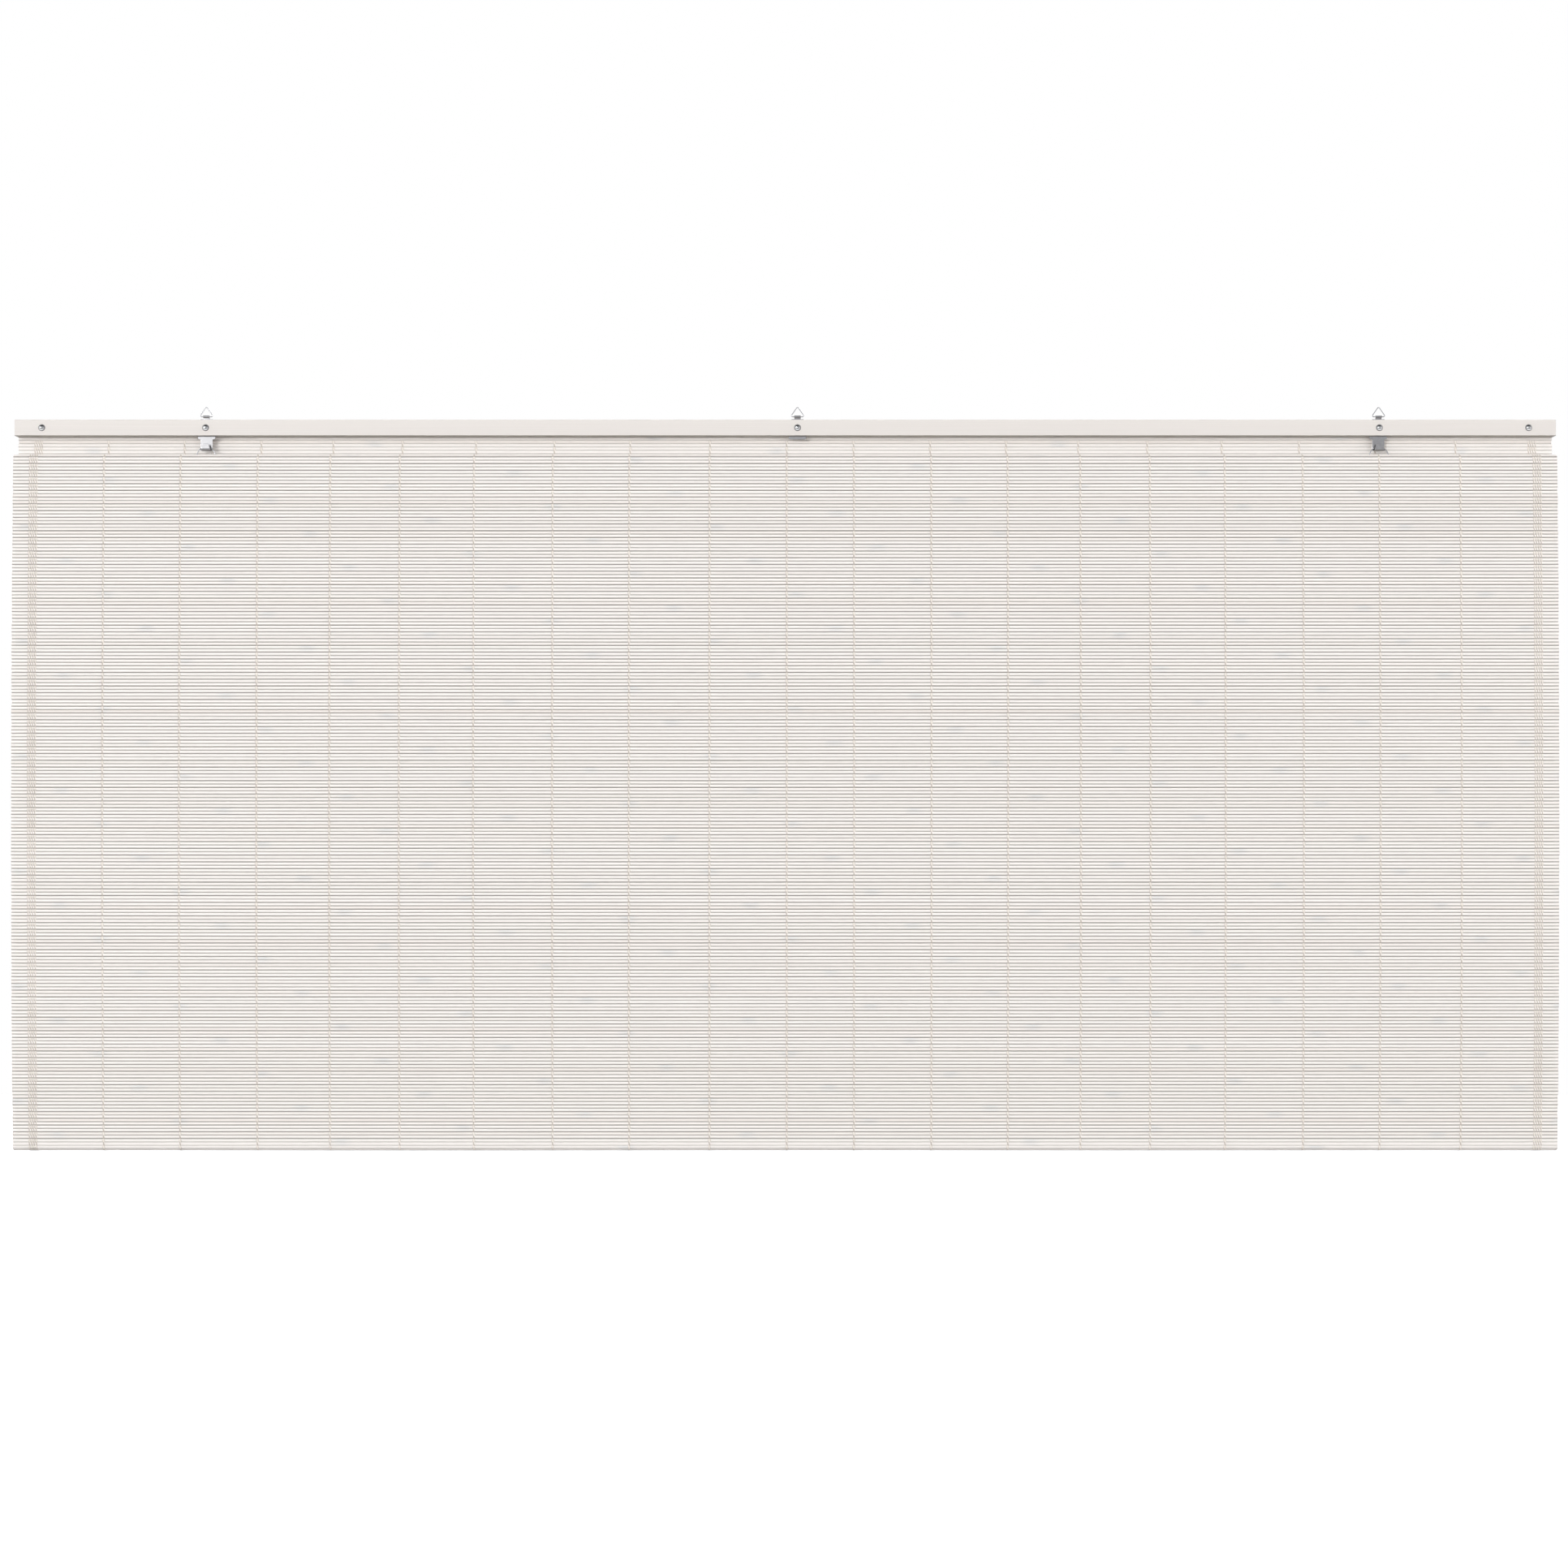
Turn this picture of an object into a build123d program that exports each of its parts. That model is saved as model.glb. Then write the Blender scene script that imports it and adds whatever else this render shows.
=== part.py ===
from build123d import *
import os

# Bamboo blind: a mat of thin slats that hangs behind a wooden rail, goes round a rod at the bottom
# and comes up again in front of itself. Millimetres, X along the rail, -Y to the room, +Z up.
# The origin is in the middle of the rail's back face, the face that lies against the wall.

# Rail
blind_width = 2200.0
rail_height = 22.8
front_lath_depth = 6.0
rear_lath_depth = 10.0
batten_depth = 4.0
lath_edge_radius = 0.8
fit_gap = 0.2
cut_overrun = 2.0

# Mat
slat_thickness = 2.2
slat_pitch = 4.81
slat_flat = 3.1
web_thickness = 0.7
gap_width = 0.5
gap_side_margin = 8.0
mat_top_inset = 2.4
blind_drop = 1019.9
free_edge_drop = 28.5
free_edge_depth = 5.9
front_bulge = 7.4
turn_forward = 7.6
curl_radius = 3.5
curl_angle = 85.0

# Bottom rod
rod_diameter = 10.0
rod_seat_gap = 0.3
rod_end_inset = 5.0
rod_end_chamfer = 0.8

# Yarns that bind the slats, laid over the outer side of the mat
yarn_width = 3.2
yarn_thickness = 0.6
yarn_lift = 0.4
edge_yarn_width = 12.6
edge_yarn_inset = 29.2
yarn_steps = 12
turn_steps = 8
yarn_shares = (
    -0.882, -0.783, -0.683, -0.589, -0.499, -0.403, -0.301, -0.202, -0.098, 0.002,
    0.089, 0.189, 0.288, 0.382, 0.472, 0.569, 0.670, 0.769, 0.874,
)

# Bracket plates and the screws that hold the rail together
plate_thickness = 1.0
plate_width = 25.5
plate_drop = 4.6
plate_corner_radius = 3.0
shoulder_width = 18.5
shoulder_rise = 1.7
shoulder_corner_radius = 1.4
bracket_shares = (-0.752, 0.016, 0.771)
end_screw_inset = 39.0
screw_diameter = 3.5
screw_grip = 3.0
dome_diameter = 9.8
dome_height = 3.4

# Hanging rings of bent wire above the rail
ring_wire = 1.4
knuckle_clearance = 0.08
knuckle_width = 9.3
knuckle_rise = 4.9
knuckle_slit = 0.4
ring_base = 20.2
ring_height = 14.3
ring_corner_radius = 1.7

# Cord rings in the folded straps below the rail
strap_width = 17.4
strap_drop = 21.3
strap_gap = 5.0
tongue_rise = 10.0
tongue_top_width = 8.0
tongue_foot_width = 14.6
cord_ring_radius = 13.3
cord_ring_wire = 1.5
cord_ring_seat_gap = 0.3

# Heights and depths that follow from the sizes above
half_width = blind_width / 2
rail_top = rail_height / 2
rail_bottom = -rail_height / 2
batten_front = -batten_depth
rear_lath_back = batten_front - slat_thickness
rear_lath_front = rear_lath_back - rear_lath_depth
front_lath_front = rear_lath_front - front_lath_depth
plate_back = rear_lath_front + plate_thickness
bracket_places = [half_width * share for share in bracket_shares]
screw_places = [-half_width + end_screw_inset, *bracket_places, half_width - end_screw_inset]
knuckle_bore_radius = ring_wire / 2 + knuckle_clearance
knuckle_radius = knuckle_bore_radius + plate_thickness
knuckle_y = plate_back - knuckle_radius
knuckle_z = rail_top + knuckle_rise
fold_radius = strap_gap / 2 + plate_thickness
fold_y = rear_lath_front - strap_gap / 2
fold_z = rail_bottom - strap_drop + fold_radius
tongue_top = rail_bottom - strap_drop + tongue_rise
screw_hole_radius = screw_diameter / 2 + fit_gap

os.makedirs("parts", exist_ok=True)


def finish(builder, name):
    """Label a finished piece and write it out under its own name."""
    builder.part.label = name
    export_step(builder.part, f"parts/{name}.step")


# Front lath of the rail, drilled for the screws
with BuildPart() as front_lath:
    with BuildSketch(Plane.XZ.offset(-rear_lath_front)):
        Rectangle(blind_width, rail_height)
    extrude(amount=front_lath_depth)
    fillet(front_lath.faces().sort_by(Axis.Y)[0].edges(), lath_edge_radius)
    with BuildSketch(Plane.XZ.offset(-rear_lath_front)):
        with Locations(*[(x, 0) for x in screw_places]):
            Circle(screw_hole_radius)
    extrude(amount=front_lath_depth, mode=Mode.SUBTRACT)
finish(front_lath, "front_lath")

# Rear lath, with a shallow pocket across its front face for each bracket plate
with BuildPart() as rear_lath:
    with BuildSketch(Plane.XZ.offset(-rear_lath_back)):
        Rectangle(blind_width, rail_height)
    extrude(amount=rear_lath_depth)
    with BuildSketch(Plane.XZ.offset(-plate_back)):
        with Locations(*[(x, 0) for x in bracket_places]):
            Rectangle(plate_width + 2 * fit_gap, rail_height)
    extrude(amount=plate_thickness, mode=Mode.SUBTRACT)
    with BuildSketch(Plane.XZ.offset(-rear_lath_back)):
        with Locations(*[(x, 0) for x in screw_places]):
            Circle(screw_hole_radius)
    extrude(amount=rear_lath_depth, mode=Mode.SUBTRACT)
finish(rear_lath, "rear_lath")

# Clamp batten that grips the top of the mat against the rear lath, with blind holes for the screws
with BuildPart() as clamp_batten:
    with BuildSketch(Plane.XZ):
        Rectangle(blind_width, rail_height)
    extrude(amount=batten_depth)
    with BuildSketch(Plane.XZ.offset(batten_depth)):
        with Locations(*[(x, 0) for x in screw_places]):
            Circle(screw_hole_radius)
    extrude(amount=-(screw_grip + fit_gap), mode=Mode.SUBTRACT)
finish(clamp_batten, "clamp_batten")

# One dome-headed screw, turned about its own axis, then set in its five places
screw_tip = batten_front + screw_grip
dome_sphere_radius = (dome_diameter**2 / 4 + dome_height**2) / (2 * dome_height)
with BuildPart() as screw:
    with BuildSketch(Plane.XY):
        with BuildLine():
            crown = RadiusArc(
                (0, front_lath_front - dome_height),
                (dome_diameter / 2, front_lath_front),
                -dome_sphere_radius,
            )
            Polyline(
                crown @ 1,
                (screw_diameter / 2, front_lath_front),
                (screw_diameter / 2, screw_tip - screw_diameter / 2),
                (0, screw_tip),
                crown @ 0,
            )
        make_face()
    revolve(axis=Axis.Y)
with BuildPart() as screws:
    with Locations(*[(x, 0, 0) for x in screw_places]):
        add(screw.part)
finish(screws, "screws")


def bracket(with_strap):
    """Stamped plate at x = 0: shoulder and rolled knuckle above, and a folded strap below if asked."""
    with BuildPart() as plate:
        with BuildSketch(Plane.XZ.offset(-plate_back)):
            with Locations((0, rail_bottom - plate_drop)):
                RectangleRounded(
                    plate_width, rail_height, plate_corner_radius, align=(Align.CENTER, Align.MIN)
                )
            with Locations((0, rail_top + shoulder_rise)):
                RectangleRounded(
                    shoulder_width, rail_height, shoulder_corner_radius, align=(Align.CENTER, Align.MAX)
                )
            with Locations((0, knuckle_z)):
                Rectangle(knuckle_width, rail_height, align=(Align.CENTER, Align.MAX))
            if with_strap:
                with Locations((0, fold_z)):
                    Rectangle(strap_width, rail_height, align=(Align.CENTER, Align.MIN))
        extrude(amount=plate_thickness)
        with BuildSketch(Plane.YZ):
            with Locations((knuckle_y, knuckle_z)):
                Circle(knuckle_radius)
                Circle(knuckle_bore_radius, mode=Mode.SUBTRACT)
            with Locations((rear_lath_front, knuckle_z)):
                Rectangle(
                    knuckle_slit, knuckle_radius, align=(Align.MAX, Align.MAX), mode=Mode.SUBTRACT
                )
        extrude(amount=knuckle_width / 2, both=True)
        if with_strap:
            with BuildSketch(Plane.YZ):
                with Locations((fold_y, fold_z)):
                    Circle(fold_radius)
                    Circle(strap_gap / 2, mode=Mode.SUBTRACT)
                    Rectangle(
                        2 * fold_radius, fold_radius, align=(Align.CENTER, Align.MIN), mode=Mode.SUBTRACT
                    )
                with Locations((fold_y - fold_radius, fold_z)):
                    Rectangle(
                        plate_thickness, tongue_top - fold_z, align=(Align.MIN, Align.MIN)
                    )
            extrude(amount=strap_width / 2, both=True)
            with BuildSketch(Plane.XZ.offset(-fold_y)):
                with Locations((0, tongue_top - tongue_rise)):
                    Rectangle(strap_width, tongue_rise, align=(Align.CENTER, Align.MIN))
                with BuildLine():
                    Polyline(
                        (-tongue_foot_width / 2, tongue_top - tongue_rise),
                        (tongue_foot_width / 2, tongue_top - tongue_rise),
                        (tongue_top_width / 2, tongue_top),
                        (-tongue_top_width / 2, tongue_top),
                        close=True,
                    )
                make_face(mode=Mode.SUBTRACT)
            extrude(amount=fold_radius, mode=Mode.SUBTRACT)
        with BuildSketch(Plane.XZ.offset(-plate_back)):
            Circle(screw_hole_radius)
        extrude(amount=plate_thickness, mode=Mode.SUBTRACT)
    return plate.part


# Three brackets: the outer two carry a cord ring, the centre one ends just below the rail
sides = ("left", "centre", "right")
for side, x in zip(sides, bracket_places):
    with BuildPart() as bracket_plate:
        with Locations((x, 0, 0)):
            add(bracket(with_strap=side != "centre"))
    finish(bracket_plate, f"bracket_plate_{side}")

# Triangular hanging rings, their straight side in the knuckles
for side, x in zip(sides, bracket_places):
    with BuildPart() as hanging_ring:
        with BuildLine(Plane.XZ.offset(-knuckle_y)) as ring_line:
            FilletPolyline(
                (x + ring_base / 2, knuckle_z),
                (x, knuckle_z + ring_height),
                (x - ring_base / 2, knuckle_z),
                radius=ring_corner_radius,
                close=True,
            )
        with BuildSketch(Plane(ring_line.wire() @ 0, z_dir=ring_line.wire() % 0)):
            Circle(ring_wire / 2)
        sweep(path=ring_line.wire())
    finish(hanging_ring, f"hanging_ring_{side}")

# Round cord rings, resting in the folds of the two outer straps at the strap's side edges
fold_floor = rail_bottom - strap_drop + plate_thickness
ring_reach = cord_ring_radius - cord_ring_wire / 2 - cord_ring_seat_gap
cord_ring_z = fold_floor - (ring_reach**2 - strap_width**2 / 4) ** 0.5
for side, x in zip(sides, bracket_places):
    if side != "centre":
        with BuildPart(Plane((x, fold_y, cord_ring_z), z_dir=(0, -1, 0))) as cord_ring:
            Torus(cord_ring_radius, cord_ring_wire / 2)
        finish(cord_ring, f"cord_ring_{side}")

# The line that the middle of the mat follows, seen from the end of the blind
turn_radius = rod_diameter / 2 + rod_seat_gap + slat_thickness / 2
clamp_y = batten_front - slat_thickness / 2
rod_z = rail_bottom - blind_drop + turn_radius + slat_thickness / 2
rod_y = front_lath_front - turn_forward + slat_thickness / 2 + turn_radius
edge_y = front_lath_front - free_edge_depth + slat_thickness / 2
edge_z = rail_bottom - free_edge_drop - slat_thickness / 2 - curl_radius
bulge_y = (rod_y - turn_radius + edge_y) / 2 - front_bulge
with BuildLine(Plane.YZ) as mat_line:
    hang = Polyline(
        (clamp_y, rail_top - mat_top_inset),
        (clamp_y, rail_bottom - slat_pitch),
        (rod_y + turn_radius, rod_z),
    )
    turn = ThreePointArc(
        (rod_y + turn_radius, rod_z), (rod_y, rod_z - turn_radius), (rod_y - turn_radius, rod_z)
    )
    front = ThreePointArc(
        (rod_y - turn_radius, rod_z), (bulge_y, (rod_z + edge_z) / 2), (edge_y, edge_z)
    )
    curl = JernArc((edge_y, edge_z), (0, 1), curl_radius, -curl_angle)
mat_wire = mat_line.wire()
slat_count = round(mat_wire.length / slat_pitch)
turn_start_share = hang.length / mat_wire.length
front_start_share = (hang.length + turn.length) / mat_wire.length
curl_start_share = 1 - curl.length / mat_wire.length


def mat_point(share, along=0, out=0):
    """A point near the mat's middle line, moved along the line and out of its outer side."""
    tangent = mat_wire % share
    outward = Vector(0, -tangent.Z, tangent.Y)
    return mat_wire @ share + tangent * along + outward * out


# Outline of the mat's end: flat slats with grooves between them. Inside the doubled-up front layer, where
# nothing shows, the slats' backs run on in one face
first_front = int(front_start_share * slat_count) + 2
last_front = int(curl_start_share * slat_count) - 1
outer_points = []
inner_points = []
for index in range(slat_count):
    edge_share = index / slat_count
    middle_share = (index + 0.5) / slat_count
    outer_points.append(mat_point(edge_share, 0, web_thickness / 2))
    outer_points.append(mat_point(middle_share, -slat_flat / 2, slat_thickness / 2))
    outer_points.append(mat_point(middle_share, slat_flat / 2, slat_thickness / 2))
    if index < first_front:
        inner_points.append(mat_point(edge_share, 0, -web_thickness / 2))
        inner_points.append(mat_point(middle_share, -slat_flat / 2, -slat_thickness / 2))
        inner_points.append(mat_point(middle_share, slat_flat / 2, -slat_thickness / 2))
    else:
        inner_points.append(mat_point(edge_share, 0, -slat_thickness / 2))
outer_points.append(mat_point(1, 0, web_thickness / 2))
inner_points.append(mat_point(1, 0, -slat_thickness / 2))
mat_outline = outer_points + inner_points[::-1]

# Every second groove of the front layer is open right through, between the side margins
gap_planes = []
for index in range(first_front, last_front, 2):
    share = index / slat_count
    outward = Axis.X.direction.cross(mat_wire % share)
    gap_planes.append(Plane(mat_wire @ share, x_dir=(1, 0, 0), z_dir=outward))

# The mat, one wall of bound slats, pierced where the rail's screws pass through it
with BuildPart() as mat:
    with BuildSketch(Plane.YZ.offset(-half_width)):
        with BuildLine():
            Polyline(*[(point.Y, point.Z) for point in mat_outline], close=True)
        make_face()
    extrude(amount=blind_width)
    with Locations(*gap_planes):
        Box(
            blind_width - 2 * gap_side_margin, gap_width, slat_thickness + cut_overrun, mode=Mode.SUBTRACT
        )
    with Locations(*[(x, clamp_y, 0) for x in screw_places]):
        Box(
            2 * screw_hole_radius, slat_thickness + cut_overrun, 2 * screw_hole_radius, mode=Mode.SUBTRACT
        )
finish(mat, "mat")

# Rod that lies in the bottom turn of the mat and weighs it down
with BuildPart() as bottom_rod:
    with BuildSketch(Plane.YZ.offset(rod_end_inset - half_width)):
        with Locations((rod_y, rod_z)):
            Circle(rod_diameter / 2)
    extrude(amount=blind_width - 2 * rod_end_inset)
    chamfer(bottom_rod.edges().filter_by(GeomType.CIRCLE), rod_end_chamfer)
finish(bottom_rod, "bottom_rod")

# Binding yarns: flat strips over the outer side, from the foot of the rail round to the free edge
yarn_start_share = (rail_height - mat_top_inset + yarn_lift) / mat_wire.length
turn_span = front_start_share - turn_start_share
front_span = curl_start_share - front_start_share
curl_span = 1 - curl_start_share
turn_shares = [turn_start_share + turn_span * step / turn_steps for step in range(turn_steps)]
front_shares = [front_start_share + front_span * step / yarn_steps for step in range(yarn_steps)]
curl_shares = [curl_start_share + curl_span * step / turn_steps for step in range(turn_steps + 1)]
yarn_line = [yarn_start_share, *turn_shares, *front_shares, *curl_shares]
yarn_inside = [mat_point(share, 0, slat_thickness / 2 + yarn_lift) for share in yarn_line]
yarn_outside = [mat_point(share, 0, slat_thickness / 2 + yarn_lift + yarn_thickness) for share in yarn_line]


def yarn(name, x, width):
    """One strip of yarn, of the given width, centred at x."""
    with BuildPart() as strip:
        with BuildSketch(Plane.YZ.offset(x)):
            with BuildLine():
                Polyline(*[(point.Y, point.Z) for point in yarn_inside + yarn_outside[::-1]], close=True)
            make_face()
        extrude(amount=width / 2, both=True)
    finish(strip, name)


for number, share in enumerate(yarn_shares, start=1):
    yarn(f"warp_yarn_{number:02d}", half_width * share, yarn_width)
yarn("edge_yarns_left", edge_yarn_inset - half_width, edge_yarn_width)
yarn("edge_yarns_right", half_width - edge_yarn_inset, edge_yarn_width)

print("slats", slat_count, "gaps", len(gap_planes), "mat length", mat_wire.length)
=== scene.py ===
import math

import bmesh
import bpy
import numpy as np
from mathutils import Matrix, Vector


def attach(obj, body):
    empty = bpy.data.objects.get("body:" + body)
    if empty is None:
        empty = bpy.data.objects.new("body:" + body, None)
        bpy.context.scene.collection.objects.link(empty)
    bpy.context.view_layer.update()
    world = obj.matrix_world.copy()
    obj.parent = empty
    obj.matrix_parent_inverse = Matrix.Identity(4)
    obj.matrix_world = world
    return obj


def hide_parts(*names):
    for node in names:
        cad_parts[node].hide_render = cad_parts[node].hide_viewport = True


# The bamboo blind's looks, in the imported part's own frame: metres, X along the rail, -Y to the room, +Z up
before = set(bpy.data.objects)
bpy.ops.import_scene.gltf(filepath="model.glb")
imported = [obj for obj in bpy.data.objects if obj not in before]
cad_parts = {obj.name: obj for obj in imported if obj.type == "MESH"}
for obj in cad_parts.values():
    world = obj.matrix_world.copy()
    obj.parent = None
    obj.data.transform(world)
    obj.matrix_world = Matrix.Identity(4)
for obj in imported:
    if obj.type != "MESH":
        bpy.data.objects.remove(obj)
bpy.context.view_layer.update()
rng = np.random.default_rng(11)


def srgb(red, green, blue):
    """Linear colour of an 8-bit display colour."""
    channels = [c / 255 for c in (red, green, blue)]
    linear = [c / 12.92 if c <= 0.04045 else ((c + 0.055) / 1.055) ** 2.4 for c in channels]
    return (*linear, 1.0)


def grey(level):
    """A linear grey."""
    return (level, level, level, 1.0)


MM = 0.001
HALF_WIDTH = 1100 * MM
RAIL_HALF = 11.4 * MM

# The mat's middle line, as (Y, Z) points seen from the end of the blind
CLAMP_TOP = (-5.1 * MM, 9.0 * MM)
CLAMP_FOOT = (-5.1 * MM, -16.21 * MM)
ROD_CENTRE = (-22.3 * MM, -1023.8 * MM)
TURN_RADIUS = 6.4 * MM
FRONT_BULGE = 7.4 * MM
FREE_EDGE = (-27.0 * MM, -44.5 * MM)
CURL_RADIUS = 3.5 * MM
CURL_ANGLE = math.radians(40)
CURL_TIP = 2.75 * MM

# Slats, counted from the clamp: each groove lies before the slat of its number
SLAT_COUNT = 424
SLATS = np.arange(SLAT_COUNT)
GROOVES = np.arange(SLAT_COUNT + 1)
FIRST_TURN_SLAT = 214
BOTTOM_GROOVE = 218
FIRST_FRONT_SLAT = 221
SLAT_THICKNESS = 2.2 * MM
SLAT_SHIFT = 1.0 * MM
WIDE_GAP = 0.15 * MM
NARROW_GAP = 0.06 * MM
SLAT_STATIONS = 14

# Half widths and half thicknesses round a slat, and how much painted shade each point takes: shade painted
# into the grooves and over each slat's lower edge
SLAT_SECTION = (
    (-1.0, 0.0), (-0.97, 0.4), (-0.84, 0.7), (-0.5, 0.93), (-0.22, 1.0), (0.8, 0.96), (0.97, 0.7),
    (1.0, 0.0), (0.97, -0.7), (0.8, -0.96), (-0.22, -1.0), (-0.5, -0.93), (-0.84, -0.7), (-0.97, -0.4),
)
SECTION_GROOVE_SHADE = (1.0, 1.0, 0.95, 0.7, 0.05, 0.0, 0.3, 1.0, 0.3, 0.0, 0.05, 0.7, 0.95, 1.0)
# Levels of the painted groove shade: wide and narrow grooves, the strip's face, the rod's turn
WIDE_SHADE = 1.0
NARROW_SHADE = 0.75
STRIP_SHADE = 0.5
BOTTOM_SHADE = 0.9
ROD_SHADE = 0.2
ROD_FADE_SLATS = 3

# Unevenness of the slats, none at the clamp and all of it after the calm slats
CALM_SLATS = 24
TILT_SPREAD = math.radians(1.2)
WAVE_COUNT = 4
SWAY = 0.16 * MM
SWAY_SPREAD = 0.03 * MM
BOW = 0.25 * MM
BOW_SPREAD = 0.06 * MM
END_SPREAD = 0.4 * MM

# Bluish marks at the bamboo's nodes, one step further along X on each pair of slats
MARK_REPEAT = 981 * MM
MARK_STEP = 403.8 * MM
MARK_SLAT = 406
MARK_START = -907 * MM
MARK_EDGE = 19 * MM
MARK_CORE = 1 * MM
MARK_WOBBLE = 8 * MM
PAIR_MARK = 0.7

# Yarns, at shares of the half width
YARN_PLACES = (
    -0.882, -0.783, -0.683, -0.589, -0.499, -0.403, -0.301, -0.202, -0.098, 0.002,
    0.089, 0.189, 0.288, 0.382, 0.472, 0.569, 0.670, 0.769, 0.874,
)
YARN_GROUPS = {"left": range(0, 7), "centre": range(7, 13), "right": range(13, 19)}
WARP_WIDTH = 3.7 * MM
EDGE_WARP_WIDTH = 2.7 * MM
EDGE_WARP_COUNT = 4
EDGE_YARN_INSET = 29.2 * MM
EDGE_YARN_PITCH = 3.3 * MM
FIRST_BOUND_SLAT = 5

# A thread's stations on each slat, how far it rises there, and its unevenness
THREAD_STEPS = np.array([0.06, 0.5, 0.94])
THREAD_RISE = np.array([0.72, 1.0, 0.72])
THREAD_SEAT = 0.42
THREAD_SWAY = 0.5 * MM
THREAD_JITTER = 0.12 * MM
THREAD_WIDTH_SPREAD = 0.06
BROAD_SECTION = ((1.0, 0.0), (0.5, 1.0), (-0.5, 1.0), (-1.0, 0.0), (-0.5, -1.0), (0.5, -1.0))
# How dark each point of a thread's section is: painted shade on the broad thread's sides, the thin thread
# darker all round
BROAD_SHADE = (1.0, 0.0, 0.0, 1.0, 0.0, 0.0)
THIN_SECTION = ((1.0, 0.0), (0.0, 1.0), (-1.0, 0.0), (0.0, -1.0))
THIN_SHADE = (1.0, 0.8, 1.0, 0.8)

# The two threads of a warp: share of its width, thickness, section, shade, first side and waist
THREADS = (
    (1.0, 0.85 * MM, BROAD_SECTION, BROAD_SHADE, 0, 0.86),
    (0.48, 0.7 * MM, THIN_SECTION, THIN_SHADE, 1, 0.95),
)

# Hardware
BRACKET_PLACES = (-827.2 * MM, 17.6 * MM, 848.1 * MM)
SCREW_PLACES = (-1061 * MM, *BRACKET_PLACES, 1061 * MM)
SCREW_SIDES = 40
LATH_FRONT = -22.2 * MM
DOME_RADIUS = 4.9 * MM
DOME_HEIGHT = 3.4 * MM
DOME_STEPS = 12
DOME_SHARE = 0.985
DOME_TIP = 0.02 * MM
RIM_HEIGHT = 0.12 * MM
RIM_ROLL = 0.1 * MM
SHANK_RADIUS = 1.75 * MM
SHANK_END = -2.8 * MM
SHANK_POINT = (0.1 * MM, -1.1 * MM)
# Rings of the screw profile that take painted shade at the rim
FIRST_SHADED_RING = 7
SHADED_RINGS = 4
WELD_DISTANCE = 0.001 * MM
FLAT_ANGLE = math.radians(2)
STAMPED_ANGLE = math.radians(50)
PLATE_ROUND = 0.3 * MM
PLATE_SEGMENTS = 3
PLATE_SHARP = math.radians(35)
SLAT_SHARP = math.radians(60)
YARN_SHARP = math.radians(80)
SCREW_SHARP = math.radians(40)

# Colours, and how far a surface goes towards some of them
BAMBOO_DARK, BAMBOO_LIGHT = srgb(250, 245, 241), srgb(255, 251, 248)
PINK_BAMBOO, PINK_SHARE = srgb(247, 233, 224), 0.25
GREEN_BAMBOO, GREEN_SHARE = srgb(236, 237, 224), 0.2
BROWN_BAMBOO, BROWN_SHARE = srgb(190, 170, 150), 0.05
NODE_MARK, MARK_SHARE = srgb(214, 219, 223), 0.34
# Painted shade in the grooves between slats and over their lower edges
SLAT_GROOVE_SHADE, GROOVE_SHADE_SHARE = srgb(152, 145, 139), 0.9
# The rail's underside colour is painted shade
RAIL_DARK, RAIL_LIGHT, RAIL_UNDERSIDE_SHADE = srgb(228, 222, 217), srgb(238, 233, 229), srgb(206, 200, 193)
ROD_DARK, ROD_LIGHT = srgb(214, 190, 158), srgb(235, 217, 190)
BAND_SHARE = 0.35
YARN_DARK, YARN_LIGHT = srgb(246, 239, 231), srgb(253, 248, 242)
TWISTED_YARN, TWIST_SHARE = srgb(226, 215, 205), 0.2
# Painted shade on the broad thread's sides, and the thin thread's darker colour
SHADED_YARN, YARN_SHADE_SHARE = srgb(203, 193, 183), 0.95
PLATE_STEEL, RING_STEEL, SCREW_CHROME = srgb(207, 207, 209), srgb(230, 231, 234), srgb(226, 227, 229)
# Painted shade on the screw heads' rims
RIM_SHADE_STEEL = srgb(118, 118, 121)
CLOUDED_STEEL = (0.82, 0.82, 0.83)

# Surfaces: streaks are cells per metre along and across the grain
BAMBOO_FIBRES, BAMBOO_BANDS, MARK_RAGS = (6, 2600), (1.3, 190), (60, 900)
WOOD_BANDS = (0.9, 120)
WOOD_FIBRES_ALONG = 5
METAL_SCRATCHES = (300, 4200)
PINK_HUES, GREEN_HUES = (0.1, 1.0), (-0.1, -1.0)
FIBRE_RANGE, SCRATCH_RANGE = (0.3, 0.7), (0.3, 0.75)
BAND_DETAIL = 2.0
SCRATCH_DETAIL = 1.0
WOOD_SPECULAR = 0.35
BAMBOO_ROUGHNESS, BAMBOO_ROUGHNESS_SPREAD = 0.5, 0.08
WOOD_ROUGHNESS_SPREAD = 0.06
BAMBOO_BUMP, BAMBOO_BUMP_STRENGTH = 0.15 * MM, 0.25
WOOD_BUMP = 0.02 * MM
RAIL_CROWN = 0.5 * MM
# How far down a face must look to take the painted underside shade
UNDERSIDE_SHADE_RANGE = (-0.2, -0.8)
FUZZ_SCALE, TWIST_SCALE, TWIST_DISTORTION = 1400.0, 800.0, 1.5
YARN_ROUGHNESS, YARN_SPECULAR = 0.9, 0.15
YARN_BUMP, YARN_BUMP_STRENGTH = 0.15 * MM, 0.5
CLOUD_SCALE = 180.0
METAL_BUMP = 0.02 * MM

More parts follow.
